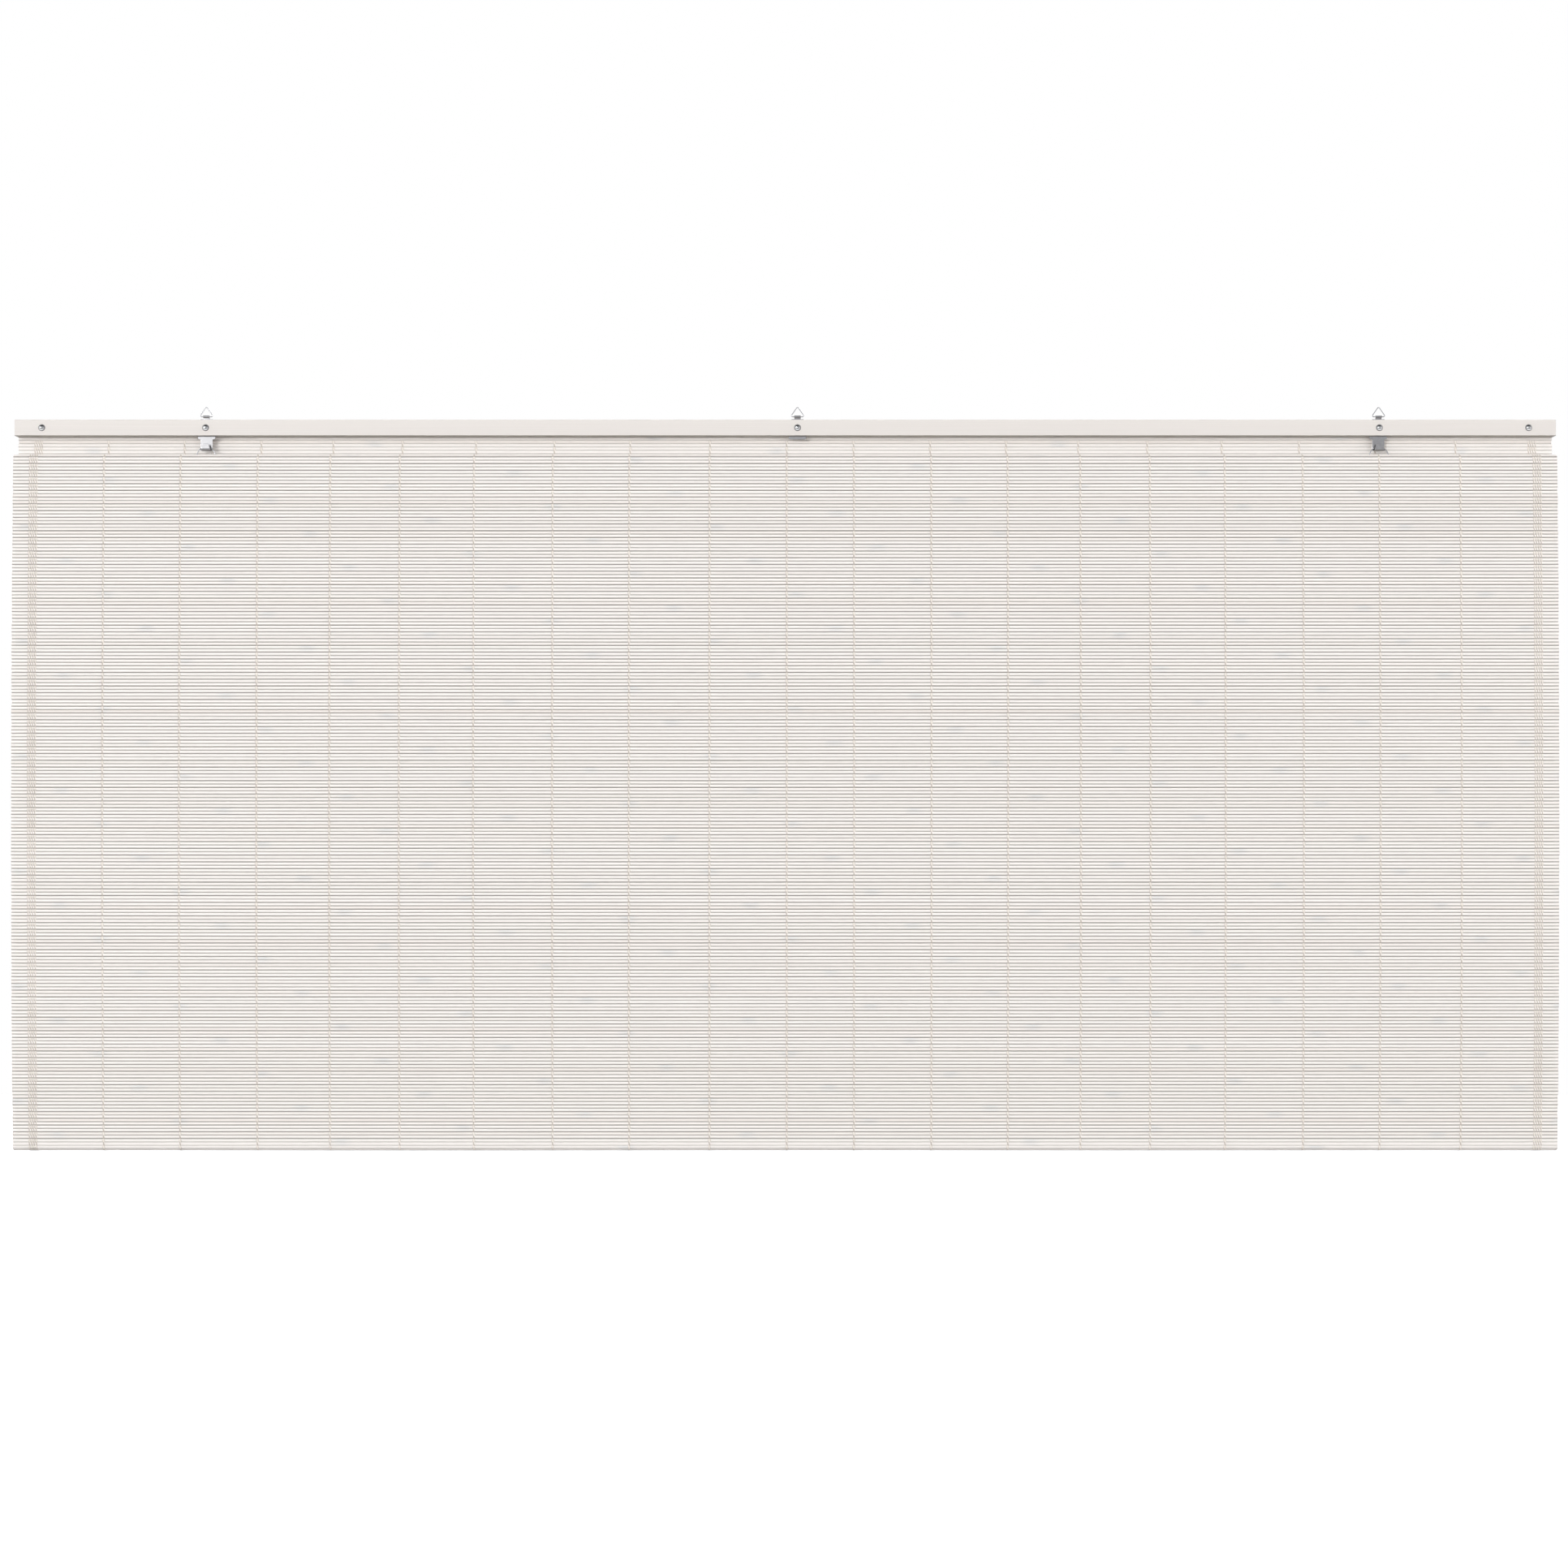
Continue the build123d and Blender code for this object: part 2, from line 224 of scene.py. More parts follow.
# Camera, floor and world: the world's ranges are over a direction's X, Y or Z
CAMERA_PLACE = (-1.7 * MM, -3130 * MM, -508.6 * MM)
LENS_MM = 50
SENSOR_MM = 36
FLOOR_HEIGHT = -2.1
FLOOR_REACH = 8.0
FLOOR_IN_LIGHT, FLOOR_IN_VIEW, FLOOR_GLOW = grey(0.15), grey(0.9), 0.8
FRONT_FLOOR_RANGE, FRONT_FLOOR_LEVEL = (-0.8, -2.4), -0.75
ROOM_LEFT, ROOM_RIGHT, ROOM_TOP = grey(0.82), (0.5, 0.5, 0.51, 1.0), grey(0.08)
BACK_RANGE, SIDE_RANGE, TOP_RANGE = (-0.15, 0.35), (-0.65, 0.3), (0.3, 0.8)
WHITE, BLACK = grey(1.0), grey(0.0)
SKY_LEVEL = 3.32
LOW_SKY, HIGH_SKY = (-0.18, -0.02, 0.05, 1.0), (0.06, 0.26, 1.0, 0.14)

# Soft lamps: place, target, size, watts and colour
LAMPS = {
    "key": ((-2.4, -2.65, 0.45), (0.35, -1.46, -0.1), (4.0, 0.8), 6.5, (1.0, 0.99, 0.98)),
    "fill": ((3.0, -1.75, 0.0), (0.3, -0.5, -0.3), (1.9, 0.8), 3.6, (1.0, 0.96, 0.92)),
}

# Even lights: direction, strength and spread in degrees
SUNS = {
    "shadow_light": ((0.5, 0.85, -0.14), 0.75, 9),
    "back_light": ((-0.35, -0.85, -0.4), 0.5, 25),
}


# Node helpers
def new_material(name):
    """A material, its tree and that tree's shader."""
    material = bpy.data.materials.new(name)
    material.use_nodes = True
    tree = material.node_tree
    return material, tree, tree.nodes["Principled BSDF"]


def node(tree, kind, inputs=None, **settings):
    """A node with its settings made and its inputs set or linked."""
    made = tree.nodes.new(kind)
    for key, value in settings.items():
        setattr(made, key, value)
    for key, value in (inputs or {}).items():
        if isinstance(value, bpy.types.NodeSocket):
            tree.links.new(value, made.inputs[key])
        else:
            made.inputs[key].default_value = value
    return made


def math_node(tree, operation, *values):
    """Output of a Math node."""
    return node(tree, "ShaderNodeMath", dict(enumerate(values)), operation=operation).outputs[0]


def mix_colour(tree, factor, first, second):
    """Output of a colour Mix node."""
    return node(tree, "ShaderNodeMix", {0: factor, 6: first, 7: second}, data_type="RGBA").outputs[2]


def tint(tree, colour, amount, share, towards):
    """A colour that goes a share of an amount towards another."""
    return mix_colour(tree, math_node(tree, "MULTIPLY", amount, share), colour, towards)


def smooth_range(tree, value, low, high, to_low=0.0, to_high=1.0):
    """Output of a smooth Map Range node."""
    return node(
        tree, "ShaderNodeMapRange",
        {"Value": value, "From Min": low, "From Max": high, "To Min": to_low, "To Max": to_high},
        interpolation_type="SMOOTHSTEP",
    ).outputs[0]


def coordinate(tree, name):
    """One kind of texture coordinate."""
    return node(tree, "ShaderNodeTexCoord").outputs[name]


def axes(tree, vector):
    """The X, Y and Z of a vector."""
    return node(tree, "ShaderNodeSeparateXYZ", {0: vector}).outputs


def attribute(tree, name, output):
    """A value stored on the mesh."""
    return node(tree, "ShaderNodeAttribute", attribute_name=name).outputs[output]


def streaks(tree, along, across, detail=3.0):
    """Noise drawn out along X, as wood grain is: cells per metre along and across."""
    cells = {0: coordinate(tree, "Object"), 1: (along, across, across)}
    scaled = node(tree, "ShaderNodeVectorMath", cells, operation="MULTIPLY").outputs[0]
    return node(tree, "ShaderNodeTexNoise", {"Vector": scaled, "Scale": 1.0, "Detail": detail}).outputs["Fac"]


def add_bump(tree, shader, height, strength, distance):
    """Joins a bump of that height to the shader's normal."""
    bump = node(tree, "ShaderNodeBump", {"Height": height, "Strength": strength, "Distance": distance})
    tree.links.new(bump.outputs[0], shader.inputs["Normal"])


# Materials
def finish_wood(tree, shader, colour, fibres, roughness, spread):
    """Joins the colour, and a roughness that follows the fibres."""
    tree.links.new(colour, shader.inputs["Base Color"])
    rough = smooth_range(tree, fibres, *FIBRE_RANGE, roughness - spread, roughness + spread)
    tree.links.new(rough, shader.inputs["Roughness"])
    shader.inputs["Specular IOR Level"].default_value = WOOD_SPECULAR


def node_marks(tree, phase):
    """The marks' strength along a slat, by the distance to the nearest ragged mark."""
    offset = math_node(tree, "SUBTRACT", axes(tree, coordinate(tree, "Object"))[0], phase)
    wrapped = math_node(tree, "WRAP", offset, MARK_REPEAT / 2, -MARK_REPEAT / 2)
    rags = streaks(tree, *MARK_RAGS)
    wobble = math_node(tree, "MULTIPLY_ADD", rags, 2 * MARK_WOBBLE, -MARK_WOBBLE)
    distance = math_node(tree, "ABSOLUTE", math_node(tree, "ADD", wrapped, wobble))
    return smooth_range(tree, distance, MARK_EDGE, MARK_CORE)


def bamboo_material():
    """Bleached bamboo: long streaks, a tone for each slat, bluish node marks and painted shade in the
    grooves.
    """
    material, tree, shader = new_material("bleached_bamboo")
    tone, hue, phase = axes(tree, attribute(tree, "slat_kind", "Vector"))
    # The second value is the painted groove shade
    marked, side, _ = axes(tree, attribute(tree, "slat_mark_and_shade", "Vector"))
    fibres = streaks(tree, *BAMBOO_FIBRES)
    bands = streaks(tree, *BAMBOO_BANDS, BAND_DETAIL)
    colour = mix_colour(tree, fibres, BAMBOO_DARK, BAMBOO_LIGHT)
    pink = math_node(tree, "MULTIPLY", smooth_range(tree, hue, *PINK_HUES), bands)
    colour = tint(tree, colour, pink, PINK_SHARE, PINK_BAMBOO)
    green = math_node(tree, "MULTIPLY", smooth_range(tree, hue, *GREEN_HUES), bands)
    colour = tint(tree, colour, green, GREEN_SHARE, GREEN_BAMBOO)
    brown = math_node(tree, "MAXIMUM", tone, 0.0)
    colour = tint(tree, colour, brown, BROWN_SHARE, BROWN_BAMBOO)
    mark = math_node(tree, "MULTIPLY", node_marks(tree, phase), marked)
    colour = tint(tree, colour, mark, MARK_SHARE, NODE_MARK)
    # Painted shade in the grooves and over each slat's lower edge
    colour = tint(tree, colour, side, GROOVE_SHADE_SHARE, SLAT_GROOVE_SHADE)
    finish_wood(tree, shader, colour, fibres, BAMBOO_ROUGHNESS, BAMBOO_ROUGHNESS_SPREAD)
    add_bump(tree, shader, fibres, BAMBOO_BUMP_STRENGTH, BAMBOO_BUMP)
    return material


def wood_material(name, dark, light, underside_shade, fibre_scale, roughness, crown=0.0):
    """Planed pale wood, its grain along X, with painted shade on faces that look down and a slight crown
    about z = 0.
    """
    material, tree, shader = new_material(name)
    fibres = streaks(tree, WOOD_FIBRES_ALONG, fibre_scale)
    bands = streaks(tree, *WOOD_BANDS, BAND_DETAIL)
    colour = mix_colour(tree, fibres, dark, light)
    colour = tint(tree, colour, bands, BAND_SHARE, dark)
    facing = axes(tree, coordinate(tree, "Normal"))[2]
    # Painted shade on faces that look down
    colour = mix_colour(tree, smooth_range(tree, facing, *UNDERSIDE_SHADE_RANGE), colour, underside_shade)
    finish_wood(tree, shader, colour, fibres, roughness, WOOD_ROUGHNESS_SPREAD)
    share = math_node(tree, "MULTIPLY", axes(tree, coordinate(tree, "Object"))[2], 1 / RAIL_HALF)
    fall = math_node(tree, "MULTIPLY", math_node(tree, "MULTIPLY", share, share), -crown)
    height = math_node(tree, "MULTIPLY_ADD", fibres, WOOD_BUMP, fall)
    add_bump(tree, shader, height, 1.0, 1.0)
    return material


def yarn_material():
    """Soft spun yarn: fine twist, pale pinkish beige, with painted shade on the broad thread's sides, and
    darker all round the thin thread.
    """
    material, tree, shader = new_material("spun_yarn")
    # Painted shade on the broad thread's sides, and the thin thread darker all round
    thin = attribute(tree, "thread_darkening", "Fac")
    place = coordinate(tree, "Object")
    spun = {"Vector": place, "Scale": FUZZ_SCALE, "Detail": 3.0}
    fuzz = node(tree, "ShaderNodeTexNoise", spun).outputs["Fac"]
    wound = {"Vector": place, "Scale": TWIST_SCALE, "Distortion": TWIST_DISTORTION}
    twist = node(tree, "ShaderNodeTexWave", wound, bands_direction="DIAGONAL").outputs["Fac"]
    colour = mix_colour(tree, fuzz, YARN_DARK, YARN_LIGHT)
    colour = tint(tree, colour, twist, TWIST_SHARE, TWISTED_YARN)
    colour = tint(tree, colour, thin, YARN_SHADE_SHARE, SHADED_YARN)
    tree.links.new(colour, shader.inputs["Base Color"])
    shader.inputs["Roughness"].default_value = YARN_ROUGHNESS
    shader.inputs["Specular IOR Level"].default_value = YARN_SPECULAR
    add_bump(tree, shader, twist, YARN_BUMP_STRENGTH, YARN_BUMP)
    return material


def metal_material(name, colour, roughness, scratch):
    """Bright metal with faint scratches and an uneven polish, with painted shade where the mesh says so."""
    material, tree, shader = new_material(name)
    cloudy = {"Vector": coordinate(tree, "Object"), "Scale": CLOUD_SCALE, "Detail": 2.0}
    cloud = node(tree, "ShaderNodeTexNoise", cloudy).outputs["Fac"]
    fine = streaks(tree, *METAL_SCRATCHES, SCRATCH_DETAIL)
    clouded = (*(c * share for c, share in zip(colour, CLOUDED_STEEL)), 1.0)
    polished = mix_colour(tree, cloud, clouded, colour)
    # Painted shade where the mesh asks for it
    mixed = mix_colour(tree, attribute(tree, "painted_rim_shade", "Fac"), polished, RIM_SHADE_STEEL)
    tree.links.new(mixed, shader.inputs["Base Color"])
    rough = smooth_range(tree, fine, *SCRATCH_RANGE, roughness, roughness + scratch)
    tree.links.new(rough, shader.inputs["Roughness"])
    shader.inputs["Metallic"].default_value = 1.0
    add_bump(tree, shader, fine, scratch * 0.5, METAL_BUMP)
    return material


# The mat's line
def line_run(start, end):
    """A straight run: its length, and its points and directions at given lengths."""
    start, end = np.array(start), np.array(end)
    span = np.linalg.norm(end - start)
    direction = (end - start) / span
    return span, lambda s: (start + s[:, None] * direction, np.tile(direction, (len(s), 1)))


def arc_run(centre, radius, start_angle, sweep):
    """A run that turns clockwise, seen with Y to the right and Z up."""
    def at(s):
        angle = start_angle - s / radius
        points = np.array(centre) + radius * np.stack([np.cos(angle), np.sin(angle)], 1)
        return points, np.stack([np.sin(angle), -np.cos(angle)], 1)
    return radius * sweep, at


def front_run(start, end):
    """The bulging front layer, an arc through a point half-way up."""
    start, end = np.array(start), np.array(end)
    middle = (start + end) / 2 - np.array([FRONT_BULGE, 0])
    rows = 2 * np.array([middle - start, end - start])
    centre = np.linalg.solve(rows, [middle @ middle - start @ start, end @ end - start @ start])
    first, last = (math.atan2(*(p - centre)[::-1]) % (2 * math.pi) for p in (start, end))
    return arc_run(centre, np.linalg.norm(start - centre), first, first - last)


def by_free_edge(back, up):
    """A point so far behind and above the front layer's free edge."""
    return (FREE_EDGE[0] + back, FREE_EDGE[1] + up)


ROD_BACK = (ROD_CENTRE[0] + TURN_RADIUS, ROD_CENTRE[1])
ROD_FRONT = (ROD_CENTRE[0] - TURN_RADIUS, ROD_CENTRE[1])
CURL_CENTRE = by_free_edge(CURL_RADIUS, 0.0)
CURL_END = by_free_edge(CURL_RADIUS * (1 - math.cos(CURL_ANGLE)), CURL_RADIUS * math.sin(CURL_ANGLE))
CURL_TOP = (CURL_END[0] + CURL_TIP * math.sin(CURL_ANGLE), CURL_END[1] + CURL_TIP * math.cos(CURL_ANGLE))
MAT_RUNS = [
    line_run(CLAMP_TOP, CLAMP_FOOT),
    line_run(CLAMP_FOOT, ROD_BACK),
    arc_run(ROD_CENTRE, TURN_RADIUS, 0.0, math.pi),
    front_run(ROD_FRONT, FREE_EDGE),
    arc_run(CURL_CENTRE, CURL_RADIUS, math.pi, CURL_ANGLE),
    line_run(CURL_END, CURL_TOP),
]
MAT_LENGTH = sum(span for span, _ in MAT_RUNS)
SLAT_PITCH = MAT_LENGTH / SLAT_COUNT


def mat_at(lengths):
    """Points, directions and outward directions of the mat's middle line, as (Y, Z) rows."""
    lengths = np.asarray(lengths, float)
    points = np.zeros((len(lengths), 2))
    along = np.zeros((len(lengths), 2))
    start = 0.0
    for index, (span, at) in enumerate(MAT_RUNS):
        last = index == len(MAT_RUNS) - 1
        here = (lengths >= start) & ((lengths < start + span) | last)
        points[here], along[here] = at(lengths[here] - start)
        start += span
    return points, along, np.stack([-along[:, 1], along[:, 0]], 1)


# Meshes
def tube_faces(rings, sides, offset):
    """Quads of a tube of rings of points, the first point at offset, and its two end caps."""
    ring, side = np.meshgrid(np.arange(rings - 1), np.arange(sides), indexing="ij")
    here = offset + ring * sides + side
    beside = offset + ring * sides + (side + 1) % sides
    quads = np.stack([here, beside, beside + sides, here + sides], -1).reshape(-1, 4).tolist()
    first = [offset + k for k in range(sides)][::-1]
    last = [offset + (rings - 1) * sides + k for k in range(sides)]
    return quads + [first, last]


def add_piece(name, points, faces, material, sharp):
    """A smooth mesh piece that rides on the blind, with edges sharp beyond an angle."""
    mesh = bpy.data.meshes.new(name)
    mesh.from_pydata(points.tolist(), [], faces)
    mesh.validate()
    mesh.shade_smooth()
    mesh.set_sharp_from_angle(angle=sharp)
    mesh.materials.append(material)
    piece = bpy.data.objects.new(name, mesh)
    bpy.context.scene.collection.objects.link(piece)
    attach(piece, "blind")
    return piece


def point_attribute(piece, name, values):
    """Stores a number or a vector for each point."""
    kind, key = ("FLOAT", "value") if values.ndim == 1 else ("FLOAT_VECTOR", "vector")
    made = piece.data.attributes.new(name, kind, "POINT")
    made.data.foreach_set(key, values.astype(np.float32).ravel())


def slow_waves(x):
    """Gentle sways along X that change little from one slat to the next, about -1 to 1."""
    total = np.zeros((SLAT_COUNT, len(x)))
    for _ in range(WAVE_COUNT):
        turns = rng.uniform(0.3, 1.6)
        drift = rng.uniform(-0.05, 0.05)
        phase = rng.uniform(0, 2 * math.pi)
        total += np.sin(2 * math.pi * turns * x[None, :] + drift * SLATS[:, None] + phase)
    return total / WAVE_COUNT


def slat_shares():
    """Each slat's section as shares of its half width and half thickness, turned over at the rod."""
    turned = np.where(SLATS < FIRST_TURN_SLAT, -1.0, 1.0)[:, None]
    width, thickness = np.array(SLAT_SECTION).T
    return width * turned, thickness * turned


def slat_outlines(width_share, thick_share):
    """Each slat's section in metres along the mat and out from it, with its gaps and a slight tilt."""
    is_wide = (GROOVES % 2 == 1) & (GROOVES >= FIRST_FRONT_SLAT)
    gap = np.where(is_wide, WIDE_GAP, NARROW_GAP)
    below = (SLAT_PITCH - gap[:-1]) / 2
    above = (SLAT_PITCH - gap[1:]) / 2
    across = np.where(width_share < 0, below[:, None], above[:, None]) * width_share
    rise = thick_share * SLAT_THICKNESS / 2
    tilt = rng.normal(0, TILT_SPREAD, SLAT_COUNT)[:, None]
    return across * np.cos(tilt) - rise * np.sin(tilt), across * np.sin(tilt) + rise * np.cos(tilt)


def slat_shades(width_share, thick_share):
    """How much painted shade each point of a section takes: most in the grooves, less by the rod and on the
    strip.
    """
    shade = np.where(GROOVES % 2 == 1, WIDE_SHADE, NARROW_SHADE)
    rod_fade = np.clip((GROOVES - BOTTOM_GROOVE) / ROD_FADE_SLATS, ROD_SHADE, 1.0)
    rod_fade = np.where(GROOVES == BOTTOM_GROOVE, BOTTOM_SHADE, rod_fade)
    shade = np.where(GROOVES < FIRST_TURN_SLAT, shade, shade * rod_fade)
    shade = np.where(width_share < 0, shade[:-1, None], shade[1:, None])
    faces_room = (SLATS < FIRST_TURN_SLAT)[:, None] & (thick_share < 0)
    return np.where(faces_room, STRIP_SHADE, shade) * np.array(SECTION_GROOVE_SHADE)


def slat_points(across, rise):
    """The slats' rings of points, which sway and bow along their length and end unevenly."""
    x = np.linspace(-1, 1, SLAT_STATIONS) * HALF_WIDTH
    free = np.clip(SLATS / CALM_SLATS, 0.0, 1.0)[:, None]
    sway = free * (SWAY * slow_waves(x) + rng.normal(0, SWAY_SPREAD, (SLAT_COUNT, 1)))
    bow = free * (BOW * slow_waves(x) + rng.normal(0, BOW_SPREAD, (SLAT_COUNT, 1)))
    reach = 1 - np.abs(rng.normal(0, END_SPREAD, (SLAT_COUNT, 1))) / HALF_WIDTH
    centre, along, out = mat_at((SLATS + 0.5) * SLAT_PITCH + SLAT_SHIFT)
    forward = across[:, None, :] + sway[:, :, None]
    outward = rise[:, None, :] + bow[:, :, None]
    points = np.zeros((*forward.shape, 3))
    points[..., 0] = (x[None, :] * reach)[:, :, None]
    for axis in (0, 1):
        middle, ahead, aside = (rows[:, None, None, axis] for rows in (centre, along, out))
        points[..., axis + 1] = middle + ahead * forward + aside * outward
    return points


def make_slats(material):
    """All the slats, each a closed strip with a crowned face, in one piece."""
    shares = slat_shares()
    points = slat_points(*slat_outlines(*shares))
    sides = len(SLAT_SECTION)
    faces = []
    for slat in SLATS.tolist():
        faces += tube_faces(SLAT_STATIONS, sides, slat * SLAT_STATIONS * sides)
    piece = add_piece("slats", points.reshape(-1, 3), faces, material, SLAT_SHARP)
    kind = np.zeros(points.shape)
    kind[..., 0] = rng.normal(0, 1, SLAT_COUNT)[:, None, None]
    kind[..., 1] = rng.uniform(-1, 1, SLAT_COUNT)[:, None, None]
    pair = (SLATS + 1) // 2
    kind[..., 2] = (MARK_START + MARK_STEP * (MARK_SLAT / 2 - pair))[:, None, None]
    place = np.zeros(points.shape)
    place[..., 0] = np.where(SLATS % 2 == 0, 1.0, PAIR_MARK)[:, None, None]
    # Painted groove shade for each point of a section
    place[..., 1] = slat_shades(*shares)[:, None, :]
    point_attribute(piece, "slat_kind", kind.reshape(-1, 3))
    point_attribute(piece, "slat_mark_and_shade", place.reshape(-1, 3))
    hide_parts("mat")


def thread_points(x, width, thickness, section, start_side, waist):
    """One thread that passes over one slat and under the next: rings of points round its middle."""
    slat = np.arange(FIRST_BOUND_SLAT, SLAT_COUNT)
    place = (slat[:, None] + THREAD_STEPS[None, :]).ravel()
    centre, _, out = mat_at(place * SLAT_PITCH + SLAT_SHIFT)
    face = np.where((slat + start_side) % 2, -1.0, 1.0)
    lift = SLAT_THICKNESS / 2 + thickness * THREAD_SEAT
    height = (face[:, None] * THREAD_RISE[None, :]).ravel() * lift
    lateral = np.stack([face, 0 * face, -face], 1).ravel() * THREAD_SWAY
    lateral += rng.normal(0, THREAD_JITTER, len(lateral))
    spread = np.tile([waist, 1.0, waist], len(slat)) * rng.normal(1, THREAD_WIDTH_SPREAD, len(place))
    middle = np.zeros((len(place), 3))
    middle[:, 0] = x + lateral
    middle[:, 1:] = centre + out * height[:, None]
    tangent = np.gradient(middle, axis=0)
    normal = np.cross(np.array([1.0, 0, 0]), tangent)
    normal /= np.linalg.norm(normal, axis=1)[:, None]
    across, up = np.array(section).T
    rings = middle[:, None, :] + normal[:, None, :] * (thickness / 2 * up)[None, :, None]
    rings[..., 0] += (spread * width / 2)[:, None] * across[None, :]
    return rings


def make_yarns(name, places, width, material, stands_for):
    """A group of warps in one piece: each is a broad thread and a thin one twisted round the slats."""
    points, faces, thin = [], [], []
    offset = 0
    for x in places:
        for share, thickness, section, shade, start_side, waist in THREADS:
            rings = thread_points(x, width * share, thickness, section, start_side, waist)
            points.append(rings.reshape(-1, 3))
            faces += tube_faces(len(rings), len(section), offset)
            # How dark each point of the thread is, painted shade on the broad thread's sides
            thin.append(np.tile(shade, len(rings)))
            offset += len(points[-1])
    piece = add_piece(name, np.concatenate(points), faces, material, YARN_SHARP)
    point_attribute(piece, "thread_darkening", np.concatenate(thin))
    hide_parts(*stands_for)


def make_all_yarns(material):
    """The warps in three groups, and a band of warps by each edge."""
    for group, numbers in YARN_GROUPS.items():
        places = [YARN_PLACES[n] * HALF_WIDTH for n in numbers]
        stands_for = [f"warp_yarn_{n + 1:02d}" for n in numbers]
        make_yarns(f"warp_yarns_{group}", places, WARP_WIDTH, material, stands_for)
    for group, sign in (("left", -1), ("right", 1)):
        middle = sign * (HALF_WIDTH - EDGE_YARN_INSET)
        steps = np.arange(EDGE_WARP_COUNT) - (EDGE_WARP_COUNT - 1) / 2
        places = (middle + steps * EDGE_YARN_PITCH).tolist()
        make_yarns(f"edge_yarn_band_{group}", places, EDGE_WARP_WIDTH, material, [f"edge_yarns_{group}"])


def screw_profile():
    """Radii and Y places of a screw, from the top of its dome over a rolled rim to its point."""
    sphere = (DOME_RADIUS**2 + DOME_HEIGHT**2) / (2 * DOME_HEIGHT)
    dome_top = LATH_FRONT - DOME_HEIGHT
    profile = [(DOME_TIP, dome_top)]
    for step in range(1, DOME_STEPS + 1):
        angle = math.asin(DOME_RADIUS / sphere) * step / DOME_STEPS * DOME_SHARE
        profile.append((sphere * math.sin(angle), dome_top + sphere * (1 - math.cos(angle))))
    profile += [(DOME_RADIUS, LATH_FRONT - RIM_HEIGHT), (DOME_RADIUS - RIM_ROLL, LATH_FRONT)]
    return profile + [(SHANK_RADIUS, LATH_FRONT), (SHANK_RADIUS, SHANK_END), SHANK_POINT]


def make_screws(material):
    """Five dome heads on their shanks, turned in one profile, with painted shade on their rims."""
    radius, y = np.array(screw_profile()).T
    angles = np.linspace(0, 2 * math.pi, SCREW_SIDES, endpoint=False)
    rings = np.zeros((len(radius), SCREW_SIDES, 3))
    rings[..., 0] = radius[:, None] * np.cos(angles)
    rings[..., 1] = y[:, None]
    rings[..., 2] = radius[:, None] * np.sin(angles)
    points, faces = [], []
    for place in SCREW_PLACES:
        offset = len(points) * len(radius) * SCREW_SIDES
        points.append(rings.reshape(-1, 3) + np.array([place, 0, 0]))
        faces += [face[::-1] for face in tube_faces(len(radius), SCREW_SIDES, offset)]
    piece = add_piece(
        "dome_screws", np.concatenate(points), faces, material, SCREW_SHARP
    )
    # Painted shade that grows towards each dome's rim
    shaded_rim = np.clip((np.arange(len(radius)) - FIRST_SHADED_RING) / SHADED_RINGS, 0.0, 1.0)
    point_attribute(piece, "painted_rim_shade", np.tile(np.repeat(shaded_rim, SCREW_SIDES), len(SCREW_PLACES)))
    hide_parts("screws")


def make_plate(side, material):
    """A bracket plate with its stamped edges rounded over, from the CAD plate's own form."""
    node_name = f"bracket_plate_{side}"
    form = bmesh.new()
    form.from_mesh(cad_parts[node_name].data)
    bmesh.ops.remove_doubles(form, verts=form.verts, dist=WELD_DISTANCE)
    bmesh.ops.dissolve_limit(form, angle_limit=FLAT_ANGLE, verts=form.verts, edges=form.edges)
    stamped = [e for e in form.edges if len(e.link_faces) == 2 and e.calc_face_angle(0) > STAMPED_ANGLE]
    bmesh.ops.bevel(
        form, geom=stamped, offset=PLATE_ROUND, segments=PLATE_SEGMENTS, profile=0.5, affect="EDGES",
        clamp_overlap=False,
    )
    mesh = bpy.data.meshes.new(f"stamped_plate_{side}")
    form.to_mesh(mesh)
    form.free()
    mesh.shade_smooth()
    mesh.set_sharp_from_angle(angle=PLATE_SHARP)
    mesh.materials.clear()
    mesh.materials.append(material)
    piece = bpy.data.objects.new(mesh.name, mesh)
    bpy.context.scene.collection.objects.link(piece)
    flat = piece.modifiers.new("flat_faces", "WEIGHTED_NORMAL")
    flat.weight = 100
    flat.keep_sharp = True
    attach(piece, "blind")
    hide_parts(node_name)


def dress(node_name, material):
    """Gives a CAD node its material and slot."""
    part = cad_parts[node_name]
    part.data.materials.clear()
    part.data.materials.append(material)


# Studio
def add_to_scene(name, data):
    """An object of that data, in the scene."""
    made = bpy.data.objects.new(name, data)
    bpy.context.scene.collection.objects.link(made)
    return made


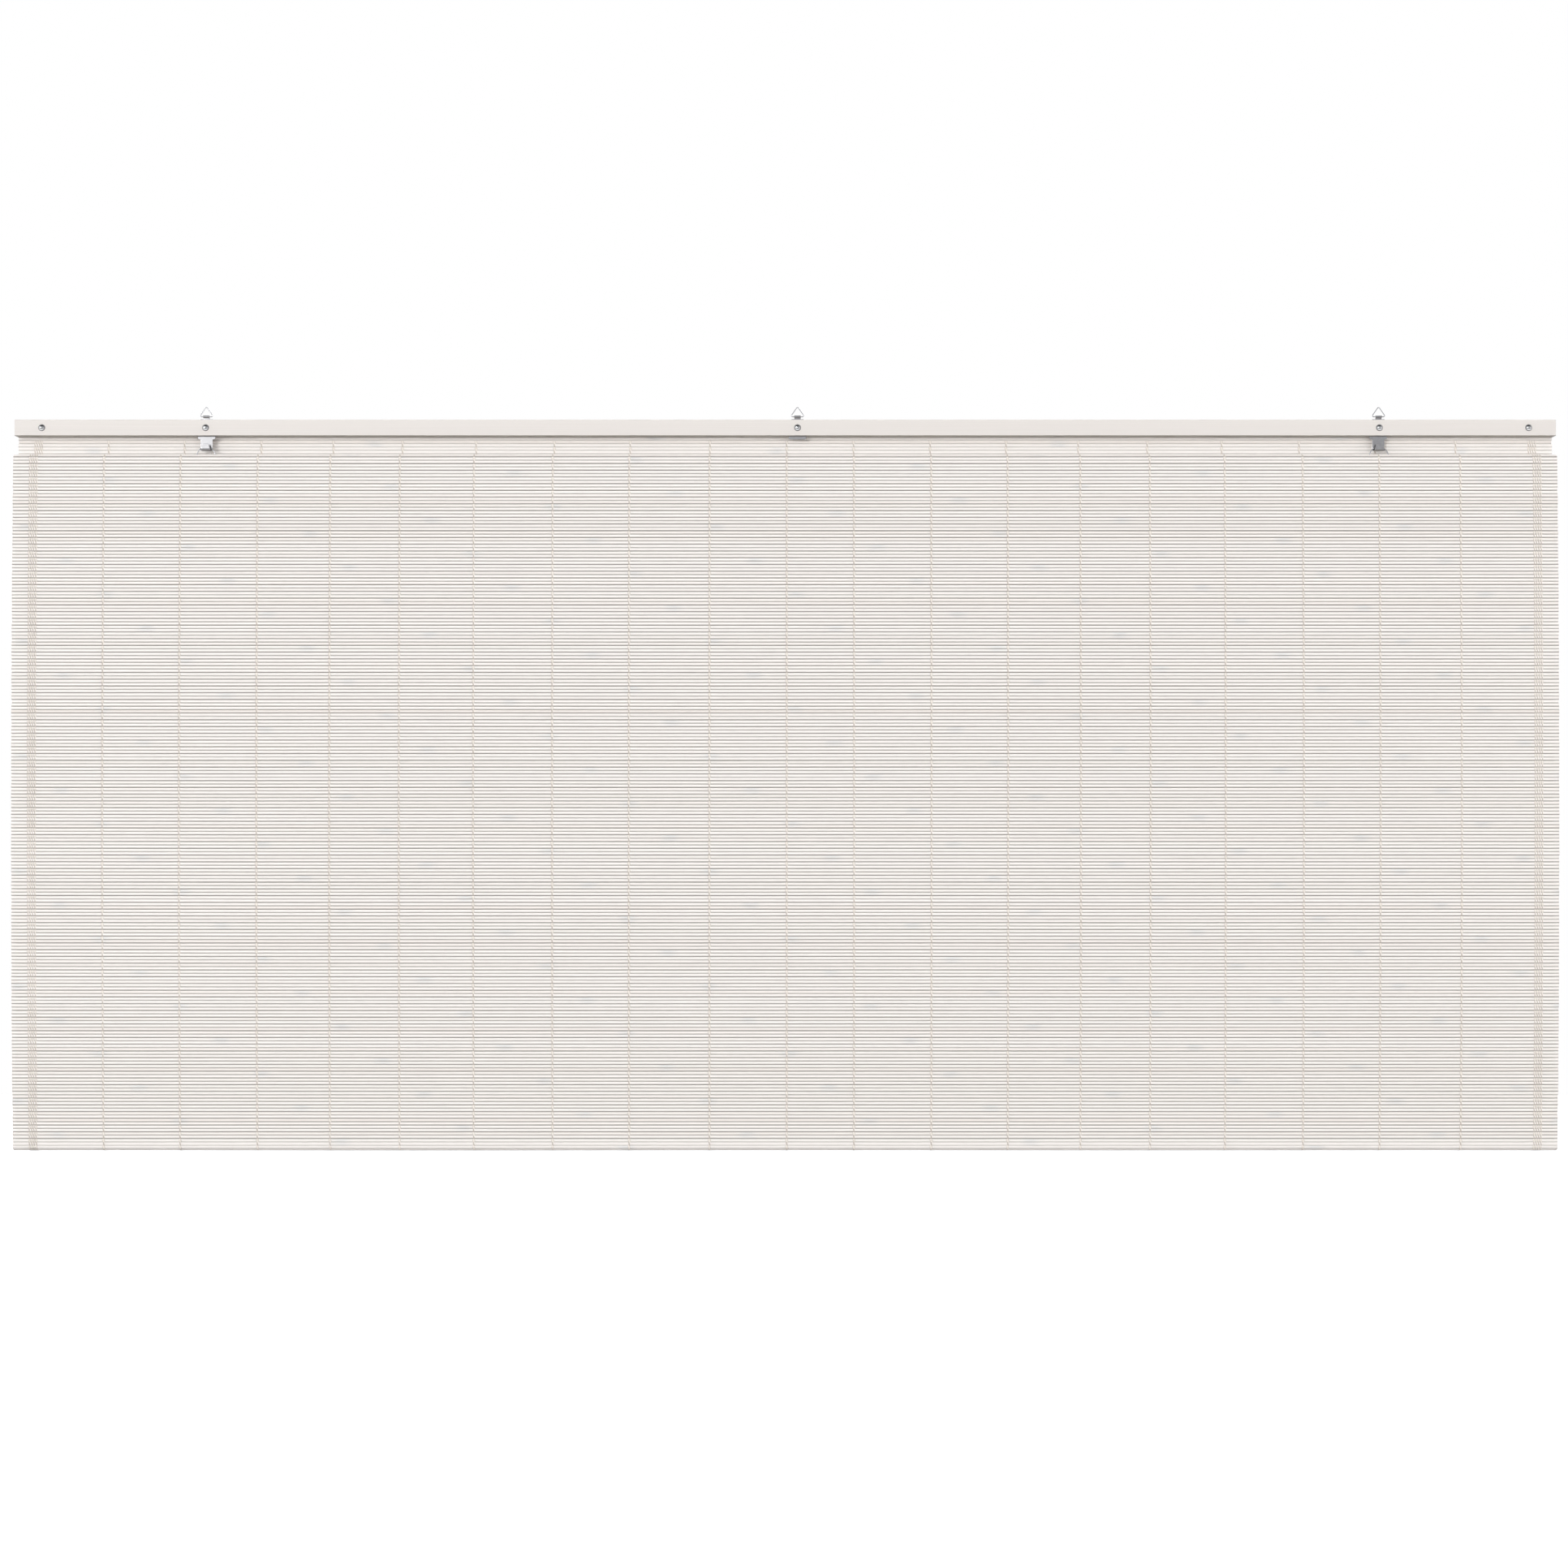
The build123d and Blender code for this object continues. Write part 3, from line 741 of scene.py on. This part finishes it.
def make_floor():
    """A pale floor far below the blind. It shows white to the camera and in metal, and keeps the shadow."""
    mesh = bpy.data.meshes.new("floor")
    signs = ((-1, -1), (1, -1), (1, 1), (-1, 1))
    corners = [(x * FLOOR_REACH, y * FLOOR_REACH, FLOOR_HEIGHT) for x, y in signs]
    mesh.from_pydata(corners, [], [(0, 1, 2, 3)])
    floor = add_to_scene("floor", mesh)
    material, tree, shader = new_material("pale_floor")
    path = node(tree, "ShaderNodeLightPath").outputs
    seen = math_node(tree, "MAXIMUM", path["Is Camera Ray"], path["Is Glossy Ray"])
    seen = math_node(tree, "MAXIMUM", seen, path["Is Transmission Ray"])
    ahead = smooth_range(tree, axes(tree, coordinate(tree, "Object"))[1], *FRONT_FLOOR_RANGE)
    ahead = math_node(tree, "MULTIPLY", ahead, path["Is Glossy Ray"])
    seen = math_node(tree, "MULTIPLY", seen, math_node(tree, "MULTIPLY_ADD", ahead, FRONT_FLOOR_LEVEL, 1.0))
    tree.links.new(mix_colour(tree, seen, FLOOR_IN_LIGHT, FLOOR_IN_VIEW), shader.inputs["Base Color"])
    shader.inputs["Roughness"].default_value = 1.0
    shader.inputs["Specular IOR Level"].default_value = 0.0
    shader.inputs["Emission Color"].default_value = WHITE
    tree.links.new(math_node(tree, "MULTIPLY", seen, FLOOR_GLOW), shader.inputs["Emission Strength"])
    mesh.materials.append(material)


def make_world():
    """White background; the room behind the camera is grey in metal; soft light on the object."""
    world = bpy.data.worlds.new("studio")
    bpy.context.scene.world = world
    world.use_nodes = True
    tree = world.node_tree
    background = tree.nodes["Background"]
    path = node(tree, "ShaderNodeLightPath").outputs
    x, y, z = axes(tree, coordinate(tree, "Generated"))
    room = mix_colour(tree, smooth_range(tree, x, *SIDE_RANGE), ROOM_LEFT, ROOM_RIGHT)
    room = mix_colour(tree, smooth_range(tree, z, *TOP_RANGE), room, ROOM_TOP)
    mirrored = mix_colour(tree, smooth_range(tree, y, *BACK_RANGE), room, WHITE)
    level = math_node(tree, "MULTIPLY", smooth_range(tree, z, *LOW_SKY), smooth_range(tree, z, *HIGH_SKY))
    light = mix_colour(tree, level, BLACK, grey(SKY_LEVEL))
    colour = mix_colour(tree, path["Is Glossy Ray"], light, mirrored)
    seen = math_node(tree, "MAXIMUM", path["Is Camera Ray"], path["Is Transmission Ray"])
    tree.links.new(mix_colour(tree, seen, colour, WHITE), background.inputs["Color"])
    background.inputs["Strength"].default_value = 1.0


def aim(light, direction):
    """Turns a light so that it shines along a direction."""
    light.rotation_euler = direction.to_track_quat("-Z", "Y").to_euler()


def make_lamp(name, place, target, size, watts, colour):
    """A broad soft lamp turned to a point."""
    data = bpy.data.lights.new(name, "AREA")
    data.shape = "RECTANGLE"
    data.size, data.size_y = size
    data.energy = watts
    data.color = colour
    lamp = add_to_scene(name, data)
    lamp.location = place
    aim(lamp, Vector(target) - Vector(place))


def make_sun(name, direction, strength, spread):
    """An even light that falls along a direction, with soft shadows."""
    data = bpy.data.lights.new(name, "SUN")
    data.energy = strength
    data.angle = math.radians(spread)
    aim(add_to_scene(name, data), Vector(direction))


def make_camera():
    """The photograph's straight front view."""
    data = bpy.data.cameras.new("camera")
    data.lens = LENS_MM
    data.sensor_width = SENSOR_MM
    camera = add_to_scene("camera", data)
    camera.location = CAMERA_PLACE
    camera.rotation_euler = (math.pi / 2, 0, 0)
    bpy.context.scene.camera = camera


bamboo = bamboo_material()
rail_wood = wood_material(
    "rail_wood_paint", RAIL_DARK, RAIL_LIGHT, RAIL_UNDERSIDE_SHADE, fibre_scale=1500, roughness=0.5,
    crown=RAIL_CROWN,
)
# The rod's downward faces take its darker tone as painted shade
raw_wood = wood_material("raw_wood", ROD_DARK, ROD_LIGHT, ROD_DARK, fibre_scale=1100, roughness=0.6)
yarn = yarn_material()
steel = metal_material("plated_steel", PLATE_STEEL, roughness=0.19, scratch=0.03)
wire = metal_material("ring_wire", RING_STEEL, roughness=0.24, scratch=0.04)
chrome = metal_material("screw_chrome", SCREW_CHROME, roughness=0.06, scratch=0.04)

make_slats(bamboo)
make_all_yarns(yarn)
make_screws(chrome)
for side in ("left", "centre", "right"):
    make_plate(side, steel)
    dress(f"hanging_ring_{side}", wire)
for side in ("left", "right"):
    dress(f"cord_ring_{side}", wire)
for name in ("front_lath", "rear_lath", "clamp_batten"):
    dress(name, rail_wood)
dress("bottom_rod", raw_wood)

make_floor()
make_world()
for name, lamp in LAMPS.items():
    make_lamp(name, *lamp)
for name, sun in SUNS.items():
    make_sun(name, *sun)
make_camera()
bpy.context.scene.view_settings.view_transform = "Standard"
